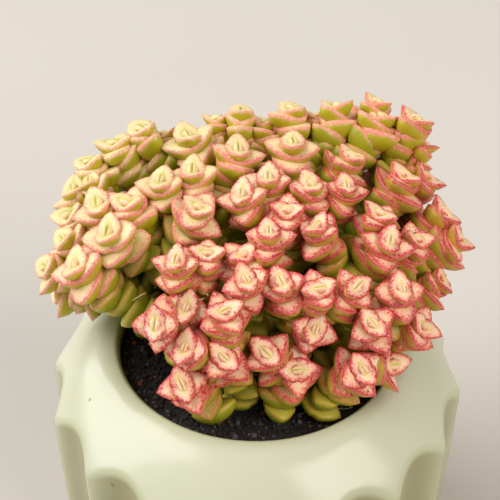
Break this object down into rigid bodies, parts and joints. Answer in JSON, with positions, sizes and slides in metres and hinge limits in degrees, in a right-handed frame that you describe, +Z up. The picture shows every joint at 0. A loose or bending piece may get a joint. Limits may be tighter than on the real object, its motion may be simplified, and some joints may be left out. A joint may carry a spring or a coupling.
{
  "type": "potted tom thumb crassula",
  "caption": "Small succulent in a fluted, glazed pot: a domed crown of square leaf rosettes on branching stems, standing in dark grit soil.",
  "frame": {"origin": "centre of the pot's foot, on the surface it stands on", "axes": "+Z up along the pot's axis, -Y towards the front of the crown, +X to the right seen from the front"},
  "size_m": [0.0956, 0.0926, 0.1015],
  "materials": {
    "glazed_pot": "gloss",
    "soil": "matte",
    "leaves": "satin"
  },
  "bodies": {
    "root": {"pot": "glazed_pot", "soil": "soil", "leafy_stem_01": "leaves", "leafy_stem_02": "leaves", "leafy_stem_03": "leaves", "leafy_stem_04": "leaves", "leafy_stem_05": "leaves", "leafy_stem_06": "leaves", "leafy_stem_07": "leaves", "leafy_stem_08": "leaves", "leafy_stem_09": "leaves", "leafy_stem_10": "leaves", "leafy_stem_11": "leaves", "leafy_stem_12": "leaves", "leafy_stem_13": "leaves", "leafy_stem_14": "leaves", "leafy_stem_15": "leaves", "leafy_stem_16": "leaves", "leafy_stem_17": "leaves", "leafy_stem_18": "leaves", "leafy_stem_19": "leaves", "leafy_stem_20": "leaves", "leafy_stem_21": "leaves", "leafy_stem_22": "leaves", "leafy_stem_23": "leaves", "leafy_stem_24": "leaves", "leafy_stem_25": "leaves", "leafy_stem_26": "leaves", "leafy_stem_27": "leaves", "leafy_stem_28": "leaves", "leafy_stem_29": "leaves", "leafy_stem_30": "leaves", "leafy_stem_31": "leaves", "leafy_stem_32": "leaves"}
  },
  "joints": []
}
